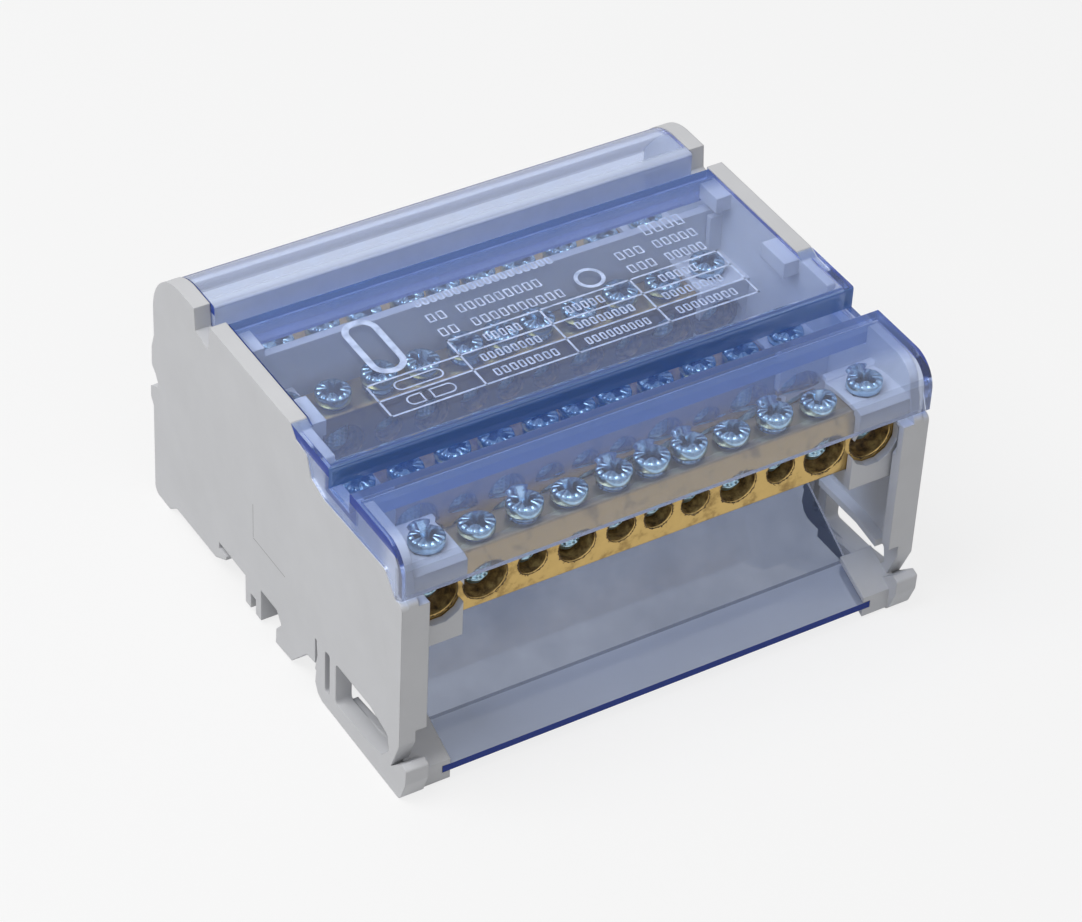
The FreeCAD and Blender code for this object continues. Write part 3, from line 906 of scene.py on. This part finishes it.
def add_thread(bm, settings):
    """Adds the threaded shank below the head, closed at both ends."""
    pitch = settings.thread_pitch
    crest = settings.shank_radius
    length = settings.shank_length
    rows = int(length / (pitch / THREAD_ROWS)) + 1
    rings = []
    for row in range(rows + 1):
        z = -length * row / rows
        left = length + z
        cone = crest
        if left < settings.tip_length:
            cone = settings.tip_radius + (crest - settings.tip_radius) * left / settings.tip_length
        ring = []
        for i in range(THREAD_SIDES):
            phase = (z / pitch + i / THREAD_SIDES) % 1
            cut = min(1.0, max(0.0, FLANK_SLOPE * (1 - abs(2 * phase - 1)) - CREST_FLAT))
            radius = min(cone, crest - THREAD_DEPTH * pitch * cut)
            turn = 2 * math.pi * i / THREAD_SIDES
            spot = (radius * math.cos(turn), radius * math.sin(turn), z + SHANK_OVERLAP * MM)
            ring.append(bm.verts.new(spot))
        rings.append(ring)
    for upper, lower in zip(rings, rings[1:]):
        for i in range(THREAD_SIDES):
            bm.faces.new([upper[i - 1], lower[i - 1], lower[i], upper[i]])
    bm.faces.new(rings[0])
    bm.faces.new(rings[-1][::-1])


# Print

# Thickness of the print in millimetres, and the share of its width that a line gains in length
PRINT_THICKNESS = 0.03
LINE_LAP = 0.98

# Lines of the table in millimetres: its rows from the front, and its columns from the left
TABLE_ROWS = (-12.3, -8.1, -3.7, 0.6)
TABLE_COLUMNS = (-35.0, -17.5, 0.1, 17.7, 35.1)

# Plain printed boxes in rows: left, right, middle and height in millimetres
BOX_ROWS = (
    (-17.5, 9.4, 11.6, 1.9), (-17.5, -13.6, 7.1, 2.2), (-11.7, 4.6, 7.1, 2.2), (-17.5, -13.6, 2.9, 2.2),
    (-11.3, 6.6, 2.9, 2.2), (26.8, 35.4, 11.3, 3.0), (19.1, 24.8, 7.0, 2.2), (26.6, 35.4, 7.0, 2.2),
    (19.1, 24.8, 3.0, 2.2), (26.6, 34.6, 3.0, 2.2), (-11.6, -4.4, -1.6, 2.0), (4.0, 11.6, -1.6, 2.0),
    (22.4, 30.0, -1.6, 2.0), (-14.8, -3.2, -6.0, 1.9), (3.2, 14.8, -6.0, 1.9), (20.3, 32.3, -6.0, 1.9),
    (-14.8, -2.4, -10.3, 1.9), (2.6, 15.2, -10.3, 1.9), (20.3, 32.3, -10.3, 1.9),
)

# A box's pitch as a share of its height, and its width as a share of the pitch
BOX_PITCH = 0.78
BOX_WIDTH = 0.72

# Corner radius and line width of a box in millimetres
BOX_CORNER = 0.25
BOX_LINE = 0.3

# Plain printed slots and a ring: x limits, y limits, corner radius and line width in millimetres
SLOTS = (
    ((-32.0, -25.4), (-2.6, 12.4), 3.2, 1.2), ((9.4, 14.8), (1.5, 6.9), 2.69, 0.7),
    ((-31.0, -22.0), (-7.2, -4.7), 1.2, 0.3), ((-31.0, -22.0), (-11.4, -8.9), 1.2, 0.3),
    ((-28.2, -26.2), (-11.4, -8.9), 0.6, 0.3),
)

# Steps in a printed corner's quarter turn, and its least radius in millimetres
CORNER_STEPS = 6
LEAST_CORNER = 0.02


def build_print(settings):
    """Plain printed table, boxes, slots and a ring just below the surface of the roof."""
    thickness = PRINT_THICKNESS * MM
    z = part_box("cover")[1].z - settings.print_depth - thickness
    front, second, third, rear = TABLE_ROWS
    left, right = TABLE_COLUMNS[0], TABLE_COLUMNS[-1]
    lines = [((left, y), (right, y)) for y in (front, second, third)]
    lines += [((TABLE_COLUMNS[1], rear), (right, rear)), ((left, front), (left, third))]
    lines += [((x, front), (x, rear)) for x in TABLE_COLUMNS[1:]]
    bm = bmesh.new()
    for start, finish in lines:
        strip(bm, start, finish, settings.print_line, z, thickness)
    for row_left, row_right, y, height in BOX_ROWS:
        count = round((row_right - row_left) / (BOX_PITCH * height))
        pitch = (row_right - row_left) / count
        for i in range(count):
            start = row_left + i * pitch
            across = (start, start + BOX_WIDTH * pitch)
            rearward = (y - height / 2, y + height / 2)
            rounded_outline(bm, across, rearward, BOX_CORNER, BOX_LINE, z, thickness)
    for x, y, radius, width in SLOTS:
        rounded_outline(bm, x, y, radius, width, z, thickness)
    return mesh_object("printed_table", bm)


def strip(bm, start, finish, width, z, thickness):
    """A thin printed line between two points of the roof in millimetres."""
    run = Vector((finish[0] - start[0], finish[1] - start[1], 0)) * MM
    middle = Vector((finish[0] + start[0], finish[1] + start[1], 0)) * (MM / 2)
    middle.z = z
    turn = Matrix.Rotation(math.atan2(run.y, run.x), 4, "Z")
    size = Matrix.Diagonal((run.length + width * LINE_LAP, width, thickness, 1))
    bmesh.ops.create_cube(bm, size=1, matrix=Matrix.Translation(middle) @ turn @ size)


def rounded_outline(bm, x, y, radius, width, z, thickness):
    """A flat printed outline of a rounded box between pairs of limits in millimetres."""
    rings = []
    for inset in (0, width):
        corner = max(radius - inset, LEAST_CORNER)
        ring = []
        for turn, (sx, sy) in enumerate(((1, 1), (-1, 1), (-1, -1), (1, -1))):
            cx = (x[1] if sx > 0 else x[0]) - sx * (inset + corner)
            cy = (y[1] if sy > 0 else y[0]) - sy * (inset + corner)
            for i in range(CORNER_STEPS + 1):
                angle = math.radians(90 * (turn + i / CORNER_STEPS))
                ring.append((cx + corner * math.cos(angle), cy + corner * math.sin(angle)))
        rings.append(ring)
    outer_top, outer_low, inner_top, inner_low = [
        [bm.verts.new((px * MM, py * MM, height)) for px, py in ring]
        for ring in rings for height in (z + thickness / 2, z - thickness / 2)
    ]
    for first, second in (
        (outer_top, inner_top), (inner_top, inner_low), (inner_low, outer_low), (outer_low, outer_top),
    ):
        for i in range(len(first)):
            bm.faces.new([first[i - 1], first[i], second[i], second[i - 1]])


# Stage

# Softboxes: place and edge length in metres, power in watts
SOFTBOXES = {
    "key_softbox": ((-0.35, 0.05, 0.66), 0.45, 3.6),
    "front_softbox": ((-0.10, -0.65, 0.45), 0.40, 0.25),
}
SOFTBOX_AIM = (0, 0, 0.03)

# Strength of the soft light from all round, and half the floor's length in metres
SOFT_LIGHT = 0.36
FLOOR_REACH = 3.0

# Camera, fitted to the photograph: place in metres, turn in degrees, focal length and sensor in millimetres
CAMERA_PLACE = (-0.27082, -0.42180, 0.43664)
CAMERA_TURN = (50.21001, -2.27211, -30.96625)
CAMERA_LENS = 127.16037
CAMERA_SENSOR = 36


def add_floor(settings):
    """The studio floor, just below the block's feet."""
    bm = bmesh.new()
    bmesh.ops.create_grid(bm, x_segments=1, y_segments=1, size=FLOOR_REACH)
    floor = mesh_object("studio_floor", bm)
    floor.location.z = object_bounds()[0].z - 0.05 * MM
    paint(floor, pale_floor(settings))
    floor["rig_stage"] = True


def add_world():
    """Soft light from all round, on a background that looks white."""
    world = bpy.data.worlds.new("studio_light")
    world.use_nodes = True
    tree = world.node_tree
    tree.nodes.clear()
    soft = add_node(tree, "ShaderNodeBackground", {"Color": (1, 1, 1, 1), "Strength": SOFT_LIGHT})
    white = add_node(tree, "ShaderNodeBackground", {"Color": (1, 1, 1, 1), "Strength": 1.0})
    both = add_node(tree, "ShaderNodeMixShader", links={
        0: seen_directly(tree), 1: soft.outputs["Background"], 2: white.outputs["Background"],
    })
    add_node(tree, "ShaderNodeOutputWorld", links={"Surface": both.outputs["Shader"]})
    bpy.context.scene.world = world


def add_softbox(name, place, size, power):
    """A square softbox that faces the block."""
    light = bpy.data.lights.new(name, "AREA")
    light.size = size
    light.energy = power
    lamp = bpy.data.objects.new(name, light)
    bpy.context.scene.collection.objects.link(lamp)
    lamp.location = place
    lamp.rotation_euler = (Vector(SOFTBOX_AIM) - lamp.location).to_track_quat("-Z", "Y").to_euler()


def add_camera():
    """The camera that shows the block as the photograph does."""
    camera = bpy.data.cameras.new("photo_camera")
    camera.sensor_width = CAMERA_SENSOR
    camera.lens = CAMERA_LENS
    camera.clip_end = 10
    seat = bpy.data.objects.new("photo_camera", camera)
    bpy.context.scene.collection.objects.link(seat)
    seat.location = CAMERA_PLACE
    seat.rotation_euler = [math.radians(angle) for angle in CAMERA_TURN]
    bpy.context.scene.camera = seat


# Operators

class BLOCK_OT_end_plates(bpy.types.Operator):
    """Gives the end plates and the partition their moulded finish"""

    bl_idname = "block.end_plates"
    bl_label = "End plates"

    def execute(self, context):
        finish = moulded_polyamide(context.scene.block_settings)
        for name in ("left_end_plate", "right_end_plate", "partition"):
            paint(soften_node(name, degrees=30), finish)
        return {"FINISHED"}


class BLOCK_OT_clear_cover(bpy.types.Operator):
    """Makes the hinged cover clear and blue-tinted"""

    bl_idname = "block.clear_cover"
    bl_label = "Clear cover"

    def execute(self, context):
        settings = context.scene.block_settings
        finish = clear_polycarbonate(
            "cover_polycarbonate", linear_of(settings.cover_colour), settings.cover_density,
            passing=linear("#EEF3FA"), roughness=0.02, haze=cover_haze, settings=settings,
        )
        paint(soften_node("cover", degrees=30), finish)
        return {"FINISHED"}


class BLOCK_OT_floor_sheet(bpy.types.Operator):
    """Makes the folded floor sheet clear and blue-tinted"""

    bl_idname = "block.floor_sheet"
    bl_label = "Floor sheet"

    def execute(self, context):
        settings = context.scene.block_settings
        finish = clear_polycarbonate(
            "sheet_polycarbonate", linear_of(settings.sheet_colour), settings.sheet_density,
            passing=linear("#CDD2DC"), roughness=0.05, haze=sheet_haze, settings=settings,
        )
        paint(soften_node("floor_sheet", degrees=5), finish)
        return {"FINISHED"}


class BLOCK_OT_busbars(bpy.types.Operator):
    """Builds the four drilled brass busbars"""

    bl_idname = "block.busbars"
    bl_label = "Busbars"

    def execute(self, context):
        settings = context.scene.block_settings
        # Painted light on copies of one brass: the front bar gets a little painted side shade and a painted
        # grey top sheen, and the inner bars get strong painted side shade.
        front = drawn_brass(settings, "drawn_brass", painted_side_shade=0.05, painted_top_sheen=0.35)
        inner = drawn_brass(settings, "side_shaded_brass", painted_side_shade=0.7, painted_top_sheen=0.0)
        drilled = drilled_brass(settings, "drilled_brass", level=1.0)
        # The burrs take the drilled colours darkened to 0.3, painted shade between a burr and the bar.
        burred = drilled_brass(settings, "burred_brass", level=0.3)
        for letter, node in BAR_LETTERS.items():
            bar = build_busbar(letter, node, settings)
            bar.data.materials.append(front if letter == "a" else inner)
            bar.data.materials.append(drilled)
            burrs = build_burrs(letter, node, settings)
            burrs.data.materials.append(burred)
            for piece in (bar, burrs):
                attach(piece, "frame")
            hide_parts(node)
        return {"FINISHED"}


class BLOCK_OT_clamping_screws(bpy.types.Operator):
    """Places the threaded clamping screws over the bores"""

    bl_idname = "block.clamping_screws"
    bl_label = "Clamping screws"

    def execute(self, context):
        settings = context.scene.block_settings
        mesh = build_screw_mesh(settings)
        mesh.materials.append(passivated_zinc(settings))
        turns = random.Random(11)
        for letter in BAR_LETTERS:
            for number in range(1, len(BORE_PATTERN) + 1):
                node = screw_name(letter, number)
                low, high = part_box(node)
                screw = bpy.data.objects.new("threaded_" + node, mesh)
                context.scene.collection.objects.link(screw)
                seat = high.z - settings.head_height
                screw.location = ((low.x + high.x) / 2, (low.y + high.y) / 2, seat)
                screw.rotation_euler.z = turns.uniform(0, math.pi)
                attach(screw, frame["nodes"][node]["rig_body"])
                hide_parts(node)
        return {"FINISHED"}


class BLOCK_OT_printed_table(bpy.types.Operator):
    """Prints the plain table on the cover's roof"""

    bl_idname = "block.printed_table"
    bl_label = "Printed table"

    def execute(self, context):
        settings = context.scene.block_settings
        table = build_print(settings)
        paint(table, pad_printed_ink(settings))
        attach(table, "cover")
        return {"FINISHED"}


class BLOCK_OT_stage(bpy.types.Operator):
    """Sets up the pale floor, the soft studio light and the camera"""

    bl_idname = "block.stage"
    bl_label = "Stage"

    def execute(self, context):
        context.scene.view_settings.view_transform = "Standard"
        add_floor(context.scene.block_settings)
        add_world()
        for name, (place, size, power) in SOFTBOXES.items():
            add_softbox(name, place, size, power)
        add_camera()
        return {"FINISHED"}


class BLOCK_PT_panel(bpy.types.Panel):
    """Sizes, colours and steps of the distribution block"""

    bl_idname = "BLOCK_PT_panel"
    bl_label = "Distribution block"
    bl_space_type = "VIEW_3D"
    bl_region_type = "UI"
    bl_category = "Distribution Block"

    def draw(self, context):
        settings = context.scene.block_settings
        for name in settings.bl_rna.properties.keys():
            if name not in ("rna_type", "name"):
                self.layout.prop(settings, name)
        for step in STEPS:
            self.layout.operator(step.bl_idname)


STEPS = (
    BLOCK_OT_end_plates, BLOCK_OT_clear_cover, BLOCK_OT_floor_sheet, BLOCK_OT_busbars,
    BLOCK_OT_clamping_screws, BLOCK_OT_printed_table, BLOCK_OT_stage,
)
CLASSES = (BlockSettings, *STEPS, BLOCK_PT_panel)


def register():
    """Registers the classes and gives the scene the block's settings."""
    for cls in CLASSES:
        bpy.utils.register_class(cls)
    bpy.types.Scene.block_settings = PointerProperty(type=BlockSettings)


def unregister():
    """Takes the settings and the classes out again."""
    del bpy.types.Scene.block_settings
    for cls in reversed(CLASSES):
        bpy.utils.unregister_class(cls)


def main():
    """Dresses the block and keeps its sizes."""
    register()
    bpy.ops.block.end_plates()
    bpy.ops.block.clear_cover()
    bpy.ops.block.floor_sheet()
    bpy.ops.block.busbars()
    bpy.ops.block.clamping_screws()
    bpy.ops.block.printed_table()
    bpy.ops.block.stage()


if __name__ == "__main__":
    main()
